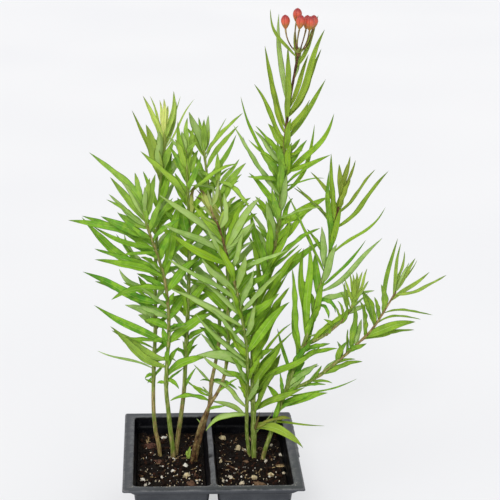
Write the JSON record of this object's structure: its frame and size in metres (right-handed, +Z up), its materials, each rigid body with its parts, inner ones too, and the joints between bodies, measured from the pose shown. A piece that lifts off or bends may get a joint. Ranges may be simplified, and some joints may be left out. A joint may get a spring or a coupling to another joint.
{
  "type": "potted butterfly weed",
  "caption": "Young butterfly weed with narrow paired leaves and an umbel of red buds, growing in a black divided nursery pack filled with potting mix.",
  "frame": {"origin": "centre of the left cell's foot, on the plane that the pack stands on", "axes": "+X to the right and +Y to the back as seen from the front, +Z up"},
  "size_m": [0.281, 0.135, 0.4003],
  "materials": {
    "pack_plastic": "matt black thermoformed sheet",
    "potting_mix": "damp, dark and crumbly",
    "foliage": "satin green",
    "bud": "satin coral red",
    "perlite": "matt off-white",
    "pale_lump": "matt beige",
    "bark_chip": "matt reddish brown"
  },
  "bodies": {
    "root": {"nursery_pack": "pack_plastic", "left_potting_mix": "potting_mix", "right_potting_mix": "potting_mix", "left_rear_shoot": "foliage", "left_front_shoot": "foliage", "left_middle_shoot": "foliage", "left_dark_shoot": "foliage", "left_leaning_shoot": "foliage", "left_sprout": "foliage", "right_leaning_shoot": "foliage", "flowering_shoot": "foliage", "right_shoot": "foliage", "right_side_branch": "foliage", "right_small_branch": "foliage", "flower_bud_1": "bud", "flower_bud_2": "bud", "flower_bud_3": "bud", "flower_bud_4": "bud", "flower_bud_5": "bud", "flower_bud_6": "bud", "perlite_1": "perlite", "perlite_2": "perlite", "perlite_3": "perlite", "perlite_4": "perlite", "perlite_5": "perlite", "perlite_6": "perlite", "perlite_7": "perlite", "perlite_8": "perlite", "perlite_9": "perlite", "perlite_10": "perlite", "perlite_11": "perlite", "perlite_12": "perlite", "perlite_13": "perlite", "perlite_14": "perlite", "perlite_15": "perlite", "perlite_16": "perlite", "perlite_17": "perlite", "perlite_18": "perlite", "pale_lump_1": "pale_lump", "pale_lump_2": "pale_lump", "pale_lump_3": "pale_lump", "pale_lump_4": "pale_lump", "pale_lump_5": "pale_lump", "pale_lump_6": "pale_lump", "bark_chip_1": "bark_chip", "bark_chip_2": "bark_chip", "bark_chip_3": "bark_chip", "bark_chip_4": "bark_chip", "bark_chip_5": "bark_chip", "bark_chip_6": "bark_chip"}
  },
  "joints": []
}
